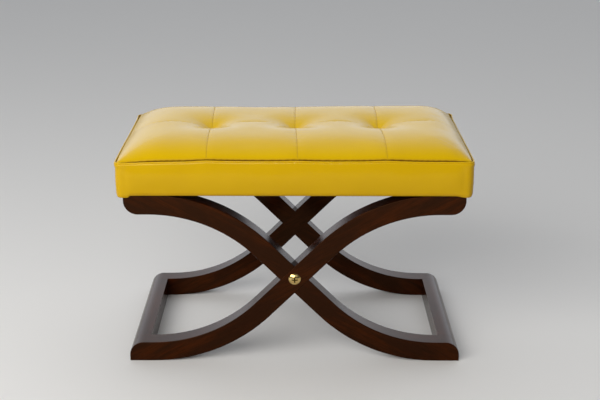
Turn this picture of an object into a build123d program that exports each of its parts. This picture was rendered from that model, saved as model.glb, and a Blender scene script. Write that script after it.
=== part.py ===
from build123d import *
from math import acos, cos, exp, radians, sin, sqrt
import os

# Upholstered X bench: two crosses of S-curved arms, joined by rails, carry a tufted box seat.
# All sizes are in millimetres. X runs along the bench, Y from front to rear, Z up from the floor.

# Wooden frame
FRAME_WIDTH = 700.0        # over the ends of the arms
FRAME_DEPTH = 400.0        # over the outer faces of the two crosses
FRAME_HEIGHT = 370.0       # floor to the top of the arms
ARM_WIDTH = 42.0           # of an arm, square to its curve
ARM_THICKNESS = 40.0       # of an arm, front to rear
ARM_END_FLAT = 50.0        # level stretch at each end of an arm
CROSS_ANGLE = 45.0         # slope of the arms where they cross, in degrees
RAIL_WIDTH = 42.0          # of a foot rail or top rail
END_ROUND = 29.0           # rounded outer corner of arm ends and rails
EDGE_EASE = 1.2            # rounding of the arms' outer edges

# Dowels between rails and arms
DOWEL_DIAMETER = 10.0
DOWEL_LENGTH = 40.0
DOWEL_SPACING = 18.0       # between the two dowels of a joint
DOWEL_HEIGHT = 18.0        # from the flat face of the rail
DOWEL_CHAMFER = 1.0
GLUE_GAP = 0.1             # round a dowel, and past each of its ends

# Brass screw through each crossing
SCREW_HEAD_DIAMETER = 25.0
SCREW_HEAD_HEIGHT = 6.0
SCREW_HEAD_RIM = 1.0       # straight edge under the dome
SCREW_SHANK_DIAMETER = 8.0
SCREW_POINT = 6.0
SCREW_BACKING = 8.0        # wood left behind the screw's point
RECESS_LENGTH = 13.0
RECESS_WIDTH = 3.0
RECESS_DEPTH = 2.6
SCREW_GAP = 0.1            # round the shank
SCREW_RISE = 2.0           # of the screw over the middle of the crossing

# Seat
SEAT_OVERHANG_SIDE = 10.0  # of the seat past the arm ends
SEAT_OVERHANG_FRONT = 6.0  # of the seat past the crosses
SEAT_CORNER = 14.0         # plan radius of the four corners
BAND_HEIGHT = 72.0         # of the side bands, under the piping
BAND_LOWER_ROUND = 8.0     # where a band turns under the board
HEM_WIDTH = 25.0           # of a band's hem under the board
COVER_THICKNESS = 1.2
DUST_COVER_THICKNESS = 0.6
DUST_COVER_INSET = 10.0    # from the seat's edge
BOARD_THICKNESS = 15.0
PIPING_DIAMETER = 5.2
PIPING_WALL = 0.9          # of the cover round the piping cord
SOFT_GAP = 0.3             # between sewn or laid pieces that don't press together

# Crowned and tufted top
PANEL_COLUMNS = 4
CROWN = 25.0               # of the top over its edge
EDGE_ROLL = 33.0           # length over which the crown rises from the edge
EDGE_SHARE = 0.06          # of the crown that stands at the very edge
SHOULDER = 60.0            # from the edge to the end of the rolled shoulder
TOP_INSET = 1.5            # of the top's edge from the band's face
SEAM_DIP = 2.5
SEAM_ROLL = 12.0           # half width of the channel along a seam
WADDING_THICKNESS = 8.0
TUFT_RADIUS = 48.0         # of a dimple at its lip
TUFT_HOLE_RADIUS = 4.0     # where the cover is pulled down to the foam
TUFT_KNOT_HEIGHT = 2.5
TUFT_CORD_DIAMETER = 2.4
TUFT_WASHER_DIAMETER = 20.0

# Fasteners between frame and seat
BOLT_FROM_ARM = 50.0       # along a top rail, from the face of an arm
BOLT_DIAMETER = 6.0
BOLT_HEAD_DIAMETER = 11.0
BOLT_HEAD_HEIGHT = 5.0
BOLT_SOCKET = 4.0          # across the flats of the hexagon socket
BOLT_SOCKET_DEPTH = 3.0
BOLT_GAP = 0.3
THREAD_GAP = 0.1           # round threads and cords
BOLT_GRIP = 22.0           # wood between the washer and the rail's top
WASHER_DIAMETER = 16.0
WASHER_THICKNESS = 1.6
WASHER_ROOM = 1.0          # round a washer in its counterbore
TEE_NUT_WALL = 0.9
TEE_NUT_LENGTH = 10.0
TEE_NUT_FLANGE_DIAMETER = 19.0
TEE_NUT_FLANGE_THICKNESS = 1.4
TEE_NUT_SET_BACK = 2.0     # of the bolt's tip from the tee nut's flange
STAPLE_PITCH = 45.0
STAPLE_INSET = 16.0        # from the seat's edge
STAPLE_CROWN = 10.0
STAPLE_LEG = 8.0
STAPLE_WIRE = 0.9

# Levels and half sizes that follow from the sizes above
HALF_WIDTH = FRAME_WIDTH / 2
HALF_DEPTH = FRAME_DEPTH / 2
INNER_FACE = HALF_DEPTH - ARM_THICKNESS
RAIL_X = HALF_WIDTH - RAIL_WIDTH / 2
END_RADIUS = min(END_ROUND, ARM_WIDTH - 2 * EDGE_EASE, RAIL_WIDTH - 2 * EDGE_EASE, ARM_END_FLAT - EDGE_EASE)
LOWER_ROUND = min(BAND_LOWER_ROUND, SEAT_CORNER - COVER_THICKNESS)
SEAT_WIDTH = FRAME_WIDTH + 2 * SEAT_OVERHANG_SIDE
SEAT_DEPTH = FRAME_DEPTH + 2 * SEAT_OVERHANG_FRONT
HEM_Z = FRAME_HEIGHT + DUST_COVER_THICKNESS
BOARD_Z = HEM_Z + COVER_THICKNESS
FOAM_Z = BOARD_Z + BOARD_THICKNESS
BAND_TOP = HEM_Z + BAND_HEIGHT
PIPING_Z = BAND_TOP + SOFT_GAP + PIPING_DIAMETER / 2
RIM_Z = PIPING_Z + PIPING_DIAMETER / 2 + SOFT_GAP
BOLT_SEAT_Z = FRAME_HEIGHT - BOLT_GRIP
BOLT_Y = INNER_FACE - BOLT_FROM_ARM
TEE_NUT_DIAMETER = BOLT_DIAMETER + 2 * (THREAD_GAP + TEE_NUT_WALL)
SCREW_LENGTH = ARM_THICKNESS - SCREW_BACKING
SCREW_Z = FRAME_HEIGHT / 2 + SCREW_RISE
STATION_SHARES = (0.0, 0.06, 0.18, 0.34, 0.5, 0.66, 0.82, 0.94, 1.0)  # of a panel's length, for its sections
PANEL_PITCH = SEAT_WIDTH / PANEL_COLUMNS
TUFT_X = [PANEL_PITCH * (column - PANEL_COLUMNS / 2) for column in range(1, PANEL_COLUMNS)]
BOLT_PLACES = [(x, y) for x in (-RAIL_X, RAIL_X) for y in (-BOLT_Y, BOLT_Y)]


def upright(diameter, z_low, z_high):
    """Round bar along Z, centred on the Z axis."""
    return Pos(0, 0, (z_low + z_high) / 2) * Cylinder(diameter / 2, z_high - z_low)


def rounded_block(width, depth, corner, z_low, z_high):
    """Block with round vertical corners."""
    return Pos(0, 0, z_low) * extrude(RectangleRounded(width, depth, corner), z_high - z_low)


# Arms of the crosses

def arm_outline():
    """Face, in the XZ plane, of an arm that rises to the right: two arcs and the straight run between."""
    turn = radians(CROSS_ANGLE)
    half = ARM_WIDTH / 2
    run = HALF_WIDTH - ARM_END_FLAT
    rise = FRAME_HEIGHT / 2 - half
    radius = (run * sin(turn) - rise * cos(turn)) / (1 - cos(turn))
    centre = Vector(-run, 0, half + radius)

    def on_arc(distance, angle):
        return centre + Vector(distance * sin(angle), 0, -distance * cos(angle))

    def opposite(point):
        return Vector(-point.X, 0, FRAME_HEIGHT - point.Z)

    outer = [on_arc(radius + half, turn * share) for share in (0, 0.5, 1)]
    inner = [on_arc(radius - half, turn * share) for share in (1, 0.5, 0)]
    heel = Vector(-HALF_WIDTH, 0, 0)
    round_top = Vector(-HALF_WIDTH + END_RADIUS, 0, ARM_WIDTH)
    round_side = Vector(-HALF_WIDTH, 0, ARM_WIDTH - END_RADIUS)
    diagonal = END_RADIUS * (1 - sqrt(0.5))
    round_middle = Vector(-HALF_WIDTH + diagonal, 0, ARM_WIDTH - diagonal)

    lower_half = [Line(heel, outer[0]), ThreePointArc(*outer), Line(outer[2], opposite(inner[0]))]
    upper_half = [Line(opposite(outer[2]), inner[0]), ThreePointArc(*inner), Line(inner[2], round_top)]
    end = [ThreePointArc(round_top, round_middle, round_side), Line(round_side, heel)]
    far_arc = ThreePointArc(*[opposite(point) for point in inner])
    far_flat = Line(opposite(inner[2]), opposite(round_top))
    far_round = ThreePointArc(opposite(round_top), opposite(round_middle), opposite(round_side))
    far_end = [Line(opposite(round_side), opposite(heel)), Line(opposite(heel), opposite(outer[0]))]
    top_arc = ThreePointArc(*[opposite(point) for point in outer])
    return Face(Wire(lower_half + [far_arc, far_flat, far_round] + far_end + [top_arc] + upper_half + end))


def arm_bar(outline, y_low, y_high):
    """Arm outline given its thickness, between two Y planes."""
    return extrude(Pos(0, y_low, 0) * outline, y_high - y_low, dir=(0, 1, 0))


def dowel_places(foot):
    """X and Z of the dowels in the left joint of a foot rail, or of a top rail."""
    height = DOWEL_HEIGHT if foot else FRAME_HEIGHT - DOWEL_HEIGHT
    return [(-RAIL_X + side * DOWEL_SPACING / 2, height) for side in (-1, 1)]


def dowel_bar(place, diameter, length):
    """Round bar along Y across the left front joint of a rail."""
    return Pos(place[0], -INNER_FACE, place[1]) * Cylinder(diameter / 2, length, rotation=(90, 0, 0))


def dowel_holes():
    """All dowel holes, four at each corner of the frame's plan."""
    holes = []
    for foot in (True, False):
        for place in dowel_places(foot):
            hole = dowel_bar(place, DOWEL_DIAMETER + 2 * GLUE_GAP, DOWEL_LENGTH + 2 * GLUE_GAP)
            holes += four_ways(hole)
    return holes


def four_ways(solid):
    """A left front solid and its copies at the other three corners."""
    pair = [solid, mirror(solid, Plane.YZ)]
    return pair + [mirror(one, Plane.XZ) for one in pair]


def dowels(foot):
    """Chamfered dowels of both foot rails, or of both top rails."""
    bars = []
    for place in dowel_places(foot):
        bar = dowel_bar(place, DOWEL_DIAMETER, DOWEL_LENGTH)
        bars += four_ways(chamfer(bar.edges().filter_by(GeomType.CIRCLE), DOWEL_CHAMFER))
    return bars


def front_arms(holes):
    """The two arms of the front cross, each notched to half its thickness where they lap."""
    rising_right = arm_outline()
    rising_left = mirror(rising_right, Plane.YZ)
    lap = -HALF_DEPTH + ARM_THICKNESS / 2
    arms = []
    for outline, other, notch in (
        (rising_right, rising_left, (lap, -INNER_FACE)),
        (rising_left, rising_right, (-HALF_DEPTH, lap)),
    ):
        bar = arm_bar(outline, -HALF_DEPTH, -INNER_FACE)
        bar = fillet(bar.faces().sort_by(Axis.Y)[0].edges(), EDGE_EASE)
        bar -= arm_bar(other, *notch)
        bar -= screw_hole()
        bar -= holes
        arms.append(bar)
    return arms


# Rails

def foot_rail(holes):
    """Left foot rail, with the arms' rounded outer corner along its length."""
    left = -HALF_WIDTH
    right = left + RAIL_WIDTH
    diagonal = END_RADIUS * (1 - sqrt(0.5))
    round_top = (left + END_RADIUS, 0, ARM_WIDTH)
    round_middle = (left + diagonal, 0, ARM_WIDTH - diagonal)
    round_side = (left, 0, ARM_WIDTH - END_RADIUS)
    sides = Polyline(round_side, (left, 0, 0), (right, 0, 0), (right, 0, ARM_WIDTH), round_top)
    corner = ThreePointArc(round_top, round_middle, round_side)
    section = Face(Wire(sides.edges() + corner.edges()))
    bar = extrude(Pos(0, -INNER_FACE, 0) * section, 2 * INNER_FACE, dir=(0, 1, 0))
    return bar - holes


def top_rail(rail):
    """Left top rail: the foot rail upside down, with counterbored holes for the seat bolts."""
    bar = mirror(rail, Plane.XY.offset(FRAME_HEIGHT / 2))
    for x, y in BOLT_PLACES:
        bar -= Pos(x, y, 0) * upright(BOLT_DIAMETER + 2 * BOLT_GAP, 0, FRAME_HEIGHT)
        bar -= Pos(x, y, 0) * upright(WASHER_DIAMETER + 2 * WASHER_ROOM, 0, BOLT_SEAT_Z)
    return bar


# Brass screws

def cross_screw():
    """Domed screw with a cross recess, driven into the front crossing."""
    shank = SCREW_SHANK_DIAMETER / 2
    head = SCREW_HEAD_DIAMETER / 2
    dome = SCREW_HEAD_HEIGHT - SCREW_HEAD_RIM
    dome_radius = (head ** 2 + dome ** 2) / (2 * dome)
    half_chord = head / 2
    sag = sqrt(dome_radius ** 2 - half_chord ** 2) - (dome_radius - dome)
    sides = Polyline(
        (0, 0, SCREW_HEAD_HEIGHT),
        (0, 0, -SCREW_LENGTH),
        (shank, 0, -SCREW_LENGTH + SCREW_POINT),
        (shank, 0, 0),
        (head, 0, 0),
        (head, 0, SCREW_HEAD_RIM),
    )
    arc = ThreePointArc(
        (head, 0, SCREW_HEAD_RIM),
        (half_chord, 0, SCREW_HEAD_RIM + sag),
        (0, 0, SCREW_HEAD_HEIGHT),
    )
    screw = revolve(Face(Wire(sides.edges() + arc.edges())), Axis.Z)
    for length, width in ((RECESS_LENGTH, RECESS_WIDTH), (RECESS_WIDTH, RECESS_LENGTH)):
        screw -= Pos(0, 0, SCREW_HEAD_HEIGHT) * Box(length, width, 2 * RECESS_DEPTH)
    return Pos(0, -HALF_DEPTH, SCREW_Z) * Rot(90, 0, 0) * screw


def screw_hole():
    """Hole for the front cross screw."""
    depth = SCREW_LENGTH + SCREW_GAP
    hole = Cylinder(SCREW_SHANK_DIAMETER / 2 + SCREW_GAP, 2 * depth, rotation=(90, 0, 0))
    return Pos(0, -HALF_DEPTH, SCREW_Z) * hole


# Crowned top of the seat

def swell(distance):
    """Share of the full crown at a distance from the seat's edge."""
    return 1 - (1 - EDGE_SHARE) * exp(-distance / EDGE_ROLL)


def crown_share(x, inset):
    """Share of the full crown along the bench: rolled ends, and a channel at each cross seam."""
    share = swell(SEAT_WIDTH / 2 - TOP_INSET - inset - abs(x))
    for seam in TUFT_X:
        share *= 1 - SEAM_DIP / CROWN * exp(-2 * abs(x - seam) / SEAM_ROLL)
    return share


def crown_section(x, inset):
    """Face across the front half of the top at one X: edge, rolled shoulder, crown and seam channel."""
    edge = -(SEAT_DEPTH / 2 - TOP_INSET - inset)
    rise = (CROWN - inset) * crown_share(x, inset)

    def top_at(y):
        return Vector(x, y, RIM_Z + rise * swell(y - edge))

    shoulder = top_at(edge + SHOULDER)
    channel = top_at(-SEAM_ROLL)
    crown_arc = ThreePointArc(shoulder, top_at((shoulder.Y + channel.Y) / 2), channel)
    rim = Vector(x, edge, RIM_Z)
    shoulder_arc = TangentArc(shoulder, rim, tangent=-(crown_arc % 0))
    seam = Vector(x, 0, RIM_Z + rise * (1 - SEAM_DIP / CROWN))
    channel_arc = TangentArc(channel, seam, tangent=crown_arc % 1)
    foot = Vector(x, 0, RIM_Z)
    return Face(Wire([Line(foot, rim), shoulder_arc, crown_arc, channel_arc, Line(seam, foot)]))


def tuft_cutter(inset):
    """Round dimple that rolls down from the crown to the foam, to be cut from the top at a seam crossing."""
    reach = TUFT_RADIUS - TUFT_HOLE_RADIUS
    full_radius = (reach ** 2 + CROWN ** 2) / (2 * CROWN)
    radius = full_radius - inset
    centre_z = RIM_Z + CROWN - full_radius
    roll = acos((RIM_Z - centre_z) / radius)

    def on_roll(share):
        return Vector(TUFT_RADIUS - radius * sin(roll * share), 0, centre_z + radius * cos(roll * share))

    low = RIM_Z - CROWN
    high = RIM_Z + 2 * CROWN
    lip = on_roll(0)
    hole = on_roll(1)
    sides = Polyline(hole, (hole.X, 0, low), (0, 0, low), (0, 0, high), (lip.X, 0, high), lip)
    arc = ThreePointArc(lip, on_roll(0.5), hole)
    return revolve(Face(Wire(sides.edges() + arc.edges())), Axis.Z)


def top_lumps(inset):
    """Front and rear lump of each panel column, from the left, shrunk inwards by an inset."""
    half_length = SEAT_WIDTH / 2 - TOP_INSET - inset
    half_depth = SEAT_DEPTH / 2 - TOP_INSET - inset
    corner = max(SEAT_CORNER - TOP_INSET - inset, SOFT_GAP)
    plan = rounded_block(2 * half_length, 2 * half_depth, corner, RIM_Z - CROWN, RIM_Z + 2 * CROWN)
    dimples = [Pos(x, 0, 0) * tuft_cutter(inset) for x in TUFT_X]
    seams = [-half_length] + TUFT_X + [half_length]
    lumps = []
    for left, right in zip(seams, seams[1:]):
        stations = [left + share * (right - left) for share in STATION_SHARES]
        front = loft([crown_section(x, inset) for x in stations])
        front = (front & plan) - dimples
        lumps.append((front, mirror(front, Plane.XZ)))
    return lumps


def top_panels(outer_lumps, inner_lumps):
    """Cover panels of the top, as thin shells, keyed by row and column."""
    panels = {}
    for column, (outer, inner) in enumerate(zip(outer_lumps, inner_lumps), start=1):
        panels[f"top_panel_front_{column}"] = outer[0] - inner[0]
        panels[f"top_panel_rear_{column}"] = outer[1] - inner[1]
    return panels


def fused(pairs):
    """All lumps of a layer as one solid."""
    lumps = [lump for pair in pairs for lump in pair]
    return lumps[0] + lumps[1:]


# Inside of the seat

def foam_block(lumps):
    """Foam with a crowned top, stepped in beside the piping, and pierced for the tuft cords."""
    side = 2 * (COVER_THICKNESS + SOFT_GAP)
    step = 2 * (PIPING_DIAMETER + SOFT_GAP)
    corner = SEAT_CORNER - side / 2
    step_corner = max(SEAT_CORNER - step / 2, SOFT_GAP)
    block = rounded_block(SEAT_WIDTH - side, SEAT_DEPTH - side, corner, FOAM_Z, BAND_TOP)
    block += rounded_block(SEAT_WIDTH - step, SEAT_DEPTH - step, step_corner, BAND_TOP, RIM_Z)
    block += fused(lumps)
    return block - tuft_cord_holes()


def tuft_cord_holes():
    """Holes for the tuft cords through foam and board."""
    hole = upright(TUFT_CORD_DIAMETER + 2 * SOFT_GAP, FRAME_HEIGHT, RIM_Z)
    return [Pos(x, 0, 0) * hole for x in TUFT_X]


def tuft_cords():
    """Cords with a knot on the cover, pulled down through the foam and the board."""
    knot = upright(2 * (TUFT_HOLE_RADIUS - SOFT_GAP), RIM_Z, RIM_Z + TUFT_KNOT_HEIGHT)
    knot = fillet(knot.faces().sort_by(Axis.Z)[-1].edges(), TUFT_KNOT_HEIGHT / 2)
    cord = knot + upright(TUFT_CORD_DIAMETER, HEM_Z, RIM_Z)
    return [Pos(x, 0, 0) * cord for x in TUFT_X]


def tuft_washers():
    """Flat washers that hold the tuft cords under the board."""
    washer = upright(TUFT_WASHER_DIAMETER, HEM_Z, BOARD_Z)
    washer -= upright(TUFT_CORD_DIAMETER + 2 * THREAD_GAP, HEM_Z, BOARD_Z)
    return [Pos(x, 0, 0) * washer for x in TUFT_X]


def seat_board(staple_solids):
    """Board with its lower edge rounded for the cover, and holes for tee nuts, tuft cords and staples."""
    side = 2 * (COVER_THICKNESS + SOFT_GAP)
    board = rounded_block(SEAT_WIDTH - side, SEAT_DEPTH - side, SEAT_CORNER - side / 2, BOARD_Z, FOAM_Z)
    board = fillet(board.faces().sort_by(Axis.Z)[0].edges(), LOWER_ROUND - COVER_THICKNESS)
    board -= tuft_cord_holes()
    board -= bolt_holes()
    for x, y in BOLT_PLACES:
        board -= Pos(x, y, 0) * upright(TEE_NUT_DIAMETER + 2 * THREAD_GAP, FOAM_Z - TEE_NUT_LENGTH, FOAM_Z)
        flange = upright(TEE_NUT_FLANGE_DIAMETER + 2 * THREAD_GAP, FOAM_Z - TEE_NUT_FLANGE_THICKNESS, FOAM_Z)
        board -= Pos(x, y, 0) * flange
    return board - staple_solids


# Cover sides, piping and underside

def side_bands(staple_solids):
    """Four side bands, mitred at the corners, each turned under the board in a hem."""
    outer = rounded_block(SEAT_WIDTH, SEAT_DEPTH, SEAT_CORNER, HEM_Z, BAND_TOP)
    outer = fillet(outer.faces().sort_by(Axis.Z)[0].edges(), LOWER_ROUND)
    wall = 2 * COVER_THICKNESS
    inner_corner = SEAT_CORNER - COVER_THICKNESS
    inner = rounded_block(SEAT_WIDTH - wall, SEAT_DEPTH - wall, inner_corner, BOARD_Z, BAND_TOP + wall)
    inner = fillet(inner.faces().sort_by(Axis.Z)[0].edges(), LOWER_ROUND - COVER_THICKNESS)
    hem = 2 * HEM_WIDTH
    opening = Pos(0, 0, BOARD_Z) * Box(SEAT_WIDTH - hem, SEAT_DEPTH - hem, 2 * wall)
    ring = outer - inner - opening - bolt_holes() - staple_solids
    reach = HEM_WIDTH + SEAT_CORNER
    right = SEAT_WIDTH / 2
    rear = SEAT_DEPTH / 2
    hem_right = right - reach
    hem_rear = rear - reach
    front_plan = [(-right, -rear), (right, -rear), (hem_right, -hem_rear), (-hem_right, -hem_rear)]
    right_plan = [(right, -rear), (right, rear), (hem_right, hem_rear), (hem_right, -hem_rear)]
    half_turn = Rot(0, 0, 180)
    bands = {}
    for name, opposite_name, plan in (("front", "rear", front_plan), ("right", "left", right_plan)):
        wedge = extrude(Pos(0, 0, HEM_Z - wall) * Face(Wire.make_polygon(plan)), BAND_HEIGHT + 2 * wall)
        bands[f"{name}_band"] = ring & wedge
        bands[f"{opposite_name}_band"] = ring & (half_turn * wedge)
    return bands


def piping_ring(diameter):
    """Round bar along the seat's top edge."""
    inset = PIPING_DIAMETER
    plan = RectangleRounded(SEAT_WIDTH - inset, SEAT_DEPTH - inset, SEAT_CORNER - inset / 2)
    path = Pos(0, 0, PIPING_Z) * plan.wire()
    return sweep(Plane(origin=path @ 0, z_dir=path % 0) * Circle(diameter / 2), path)


def dust_cover(staple_solids):
    """Thin cloth under the seat, over the hems."""
    margin = 2 * DUST_COVER_INSET
    corner = max(SEAT_CORNER - DUST_COVER_INSET, SOFT_GAP)
    sheet = rounded_block(SEAT_WIDTH - margin, SEAT_DEPTH - margin, corner, FRAME_HEIGHT, HEM_Z)
    return sheet - bolt_holes() - staple_solids


def staple():
    """One staple, points up, with its crown along X."""
    crown = Pos(0, 0, FRAME_HEIGHT + DUST_COVER_THICKNESS / 2)
    crown *= Box(STAPLE_CROWN, STAPLE_WIRE, DUST_COVER_THICKNESS)
    leg = Box(STAPLE_WIRE, STAPLE_WIRE, STAPLE_LEG, align=(Align.CENTER, Align.CENTER, Align.MIN))
    offset = (STAPLE_CROWN - STAPLE_WIRE) / 2
    return crown + [Pos(side * offset, 0, HEM_Z) * leg for side in (-1, 1)]


def staples():
    """Rows of staples along the four hems."""
    rows = (
        (SEAT_WIDTH, SEAT_DEPTH / 2 - STAPLE_INSET, 0),
        (SEAT_DEPTH, SEAT_WIDTH / 2 - STAPLE_INSET, 90),
    )
    one = staple()
    placed = []
    for length, offset, angle in rows:
        free = length - 2 * (HEM_WIDTH + STAPLE_CROWN)
        count = int(free / STAPLE_PITCH) + 1
        for index in range(count):
            along = (index - (count - 1) / 2) * STAPLE_PITCH
            placed += [Rot(0, 0, angle) * Pos(along, side * offset, 0) * one for side in (-1, 1)]
    return placed


# Fasteners between frame and seat

def bolt_holes():
    """Clearance holes for the seat bolts, from the rails up through the board."""
    hole = upright(BOLT_DIAMETER + 2 * BOLT_GAP, FRAME_HEIGHT, FOAM_Z)
    return [Pos(x, y, 0) * hole for x, y in BOLT_PLACES]


def seat_bolts():
    """Socket head bolts, up through the top rails into the tee nuts."""
    head_top = BOLT_SEAT_Z - WASHER_THICKNESS
    head_low = head_top - BOLT_HEAD_HEIGHT
    bolt = upright(BOLT_HEAD_DIAMETER, head_low, head_top)
    bolt += upright(BOLT_DIAMETER, head_top, FOAM_Z - TEE_NUT_SET_BACK)
    socket = RegularPolygon(BOLT_SOCKET / 2, 6, major_radius=False)
    bolt -= extrude(Pos(0, 0, head_low) * socket, BOLT_SOCKET_DEPTH)
    return [Pos(x, y, 0) * bolt for x, y in BOLT_PLACES]


def bolt_washers():
    """Washers under the bolt heads."""
    low = BOLT_SEAT_Z - WASHER_THICKNESS
    washer = upright(WASHER_DIAMETER, low, BOLT_SEAT_Z)
    washer -= upright(BOLT_DIAMETER + 2 * THREAD_GAP, low, BOLT_SEAT_Z)
    return [Pos(x, y, 0) * washer for x, y in BOLT_PLACES]


def tee_nuts():
    """Tee nuts let into the top of the board."""
    nut = upright(TEE_NUT_DIAMETER, FOAM_Z - TEE_NUT_LENGTH, FOAM_Z)
    nut += upright(TEE_NUT_FLANGE_DIAMETER, FOAM_Z - TEE_NUT_FLANGE_THICKNESS, FOAM_Z)
    nut -= upright(BOLT_DIAMETER + 2 * THREAD_GAP, FOAM_Z - TEE_NUT_LENGTH, FOAM_Z)
    return [Pos(x, y, 0) * nut for x, y in BOLT_PLACES]


def frame_nodes():
    """Wooden frame with its dowels and brass screws."""
    holes = dowel_holes()
    rising_right, rising_left = front_arms(holes)
    rail = foot_rail(holes)
    raised = top_rail(rail)
    screw = cross_screw()
    half_turn = Rot(0, 0, 180)
    return {
        "front_arm_rising_right": rising_right,
        "front_arm_rising_left": rising_left,
        "rear_arm_rising_left": half_turn * rising_right,
        "rear_arm_rising_right": half_turn * rising_left,
        "left_foot_rail": rail,
        "right_foot_rail": mirror(rail, Plane.YZ),
        "left_top_rail": raised,
        "right_top_rail": mirror(raised, Plane.YZ),
        "foot_rail_dowels": dowels(True),
        "top_rail_dowels": dowels(False),
        "front_cross_screw": screw,
        "rear_cross_screw": half_turn * screw,
    }


def seat_nodes():
    """Upholstered seat with its board and fasteners."""
    staple_solids = staples()
    outer = top_lumps(0)
    under_cover = top_lumps(COVER_THICKNESS)
    core = top_lumps(COVER_THICKNESS + WADDING_THICKNESS)
    nodes = top_panels(outer, under_cover)
    nodes.update(side_bands(staple_solids))
    nodes["wadding"] = fused(under_cover) - fused(core)
    nodes["foam_block"] = foam_block(core)
    nodes["piping_cord"] = piping_ring(PIPING_DIAMETER - 2 * PIPING_WALL)
    nodes["piping_cover"] = piping_ring(PIPING_DIAMETER) - nodes["piping_cord"]
    nodes["seat_board"] = seat_board(staple_solids)
    nodes["dust_cover"] = dust_cover(staple_solids)
    nodes["staples"] = staple_solids
    nodes["tuft_cords"] = tuft_cords()
    nodes["tuft_washers"] = tuft_washers()
    nodes["seat_bolts"] = seat_bolts()
    nodes["bolt_washers"] = bolt_washers()
    nodes["tee_nuts"] = tee_nuts()
    return nodes


os.makedirs("parts", exist_ok=True)
for name, shape in {**frame_nodes(), **seat_nodes()}.items():
    solids = shape if isinstance(shape, list) else [shape]
    export_step(Compound(children=[one for body in solids for one in body.solids()]), f"parts/{name}.step")
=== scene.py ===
"""Dresses the X bench: dark stained arms, brass screws and a tufted yellow leather seat on a plain stage."""
from math import ceil, cos, pi, radians, sin

import bpy
import numpy as np
from bpy.props import FloatProperty, FloatVectorProperty, PointerProperty
from mathutils import Matrix, Vector, noise


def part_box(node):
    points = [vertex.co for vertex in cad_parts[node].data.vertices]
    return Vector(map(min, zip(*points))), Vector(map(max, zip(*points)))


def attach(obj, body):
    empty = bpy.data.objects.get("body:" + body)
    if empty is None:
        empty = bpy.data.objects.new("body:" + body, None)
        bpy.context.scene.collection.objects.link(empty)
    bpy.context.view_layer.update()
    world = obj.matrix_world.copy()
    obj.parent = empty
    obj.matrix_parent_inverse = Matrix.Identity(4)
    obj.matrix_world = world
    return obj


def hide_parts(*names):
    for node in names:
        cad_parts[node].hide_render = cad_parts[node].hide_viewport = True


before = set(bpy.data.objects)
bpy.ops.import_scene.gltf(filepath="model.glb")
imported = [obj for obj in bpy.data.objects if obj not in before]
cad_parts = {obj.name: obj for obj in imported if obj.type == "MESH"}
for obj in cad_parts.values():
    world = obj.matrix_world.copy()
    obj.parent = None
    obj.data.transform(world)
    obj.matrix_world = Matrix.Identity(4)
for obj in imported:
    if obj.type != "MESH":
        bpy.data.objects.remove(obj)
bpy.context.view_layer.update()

bl_info = {
    "name": "X bench dressing",
    "version": (1, 0, 0),
    "blender": (4, 5, 0),
    "location": "3D View > Sidebar > X bench",
    "description": "Makes the seat cover, the finishes and the stage of an upholstered X bench",
    "category": "Object",
}

MM = 0.001

# Pieces of the frame, by finish
ARMS_RISING_RIGHT = ("front_arm_rising_right", "rear_arm_rising_right")
ARMS_RISING_LEFT = ("front_arm_rising_left", "rear_arm_rising_left")
ARM_SLOPE = radians(29)  # along which the arms' grain runs
RAILS = ("left_foot_rail", "right_foot_rail", "left_top_rail", "right_top_rail")
DOWELS = ("foot_rail_dowels", "top_rail_dowels")
CROSS_SCREWS = ("front_cross_screw", "rear_cross_screw")
STEEL_FASTENERS = ("seat_bolts", "bolt_washers", "tee_nuts", "tuft_washers", "staples")
BANDS = ("front_band", "rear_band", "left_band", "right_band")
TOP_PANELS = tuple(f"top_panel_{row}_{column}" for row in ("front", "rear") for column in (1, 2, 3, 4))

# Seat lines, read from the frame
SEAT_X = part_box("right_band")[1].x
SEAT_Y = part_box("rear_band")[1].y
HEM_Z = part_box("front_band")[0].z
BAND_TOP_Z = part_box("front_band")[1].z
PIPING_LOW, PIPING_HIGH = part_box("piping_cover")
PIPING_Z = (PIPING_LOW.z + PIPING_HIGH.z) / 2
PIPING_RADIUS = (PIPING_HIGH.z - PIPING_LOW.z) / 2
TOP_LOW, TOP_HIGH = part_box("top_panel_front_2")
RIM_Z = TOP_LOW.z
SEAM_X = [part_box(f"top_panel_front_{column}")[1].x for column in (1, 2, 3)]
PANEL_STOPS = [-SEAT_X, *SEAM_X, SEAT_X]
PANEL_MIDDLES = [(low + high) / 2 for low, high in zip(PANEL_STOPS, PANEL_STOPS[1:])]
DUST_LOW, DUST_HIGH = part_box("dust_cover")
RAIL_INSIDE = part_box("right_top_rail")[0].x
ARM_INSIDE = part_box("rear_arm_rising_left")[0].y

# Lines of the sewn cover
TOP_INSET = 2.8 * MM  # of the top's edge from the seat's outline
HEM_INSET = 7.5 * MM  # of the hem from the seat's outline
# Depth of the three cross seams and of the long seam, as shares of a full seam
SEAM_DEPTHS = (1.0, 1.0, 1.0, 0.35)
# Fine creases beside the front ends of the three cross seams, in millimetres from each seam
SHOULDER_CREASES = ((-5, -10, -15), (5, 10), (4, 9, 14))
# How far the three cross seams wander to the right at the front and at the rear, in millimetres
FRONT_DRIFT = (2, 6, 7)
REAR_DRIFT = (-5, 0, 0)
# How much fuller the four rear panels are than an even seat, from left to right, in millimetres
REAR_FILL = (0, -2.6, 0.3, 2.8)
# Keeps a length from being zero where it divides
TINY = 1e-9

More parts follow.
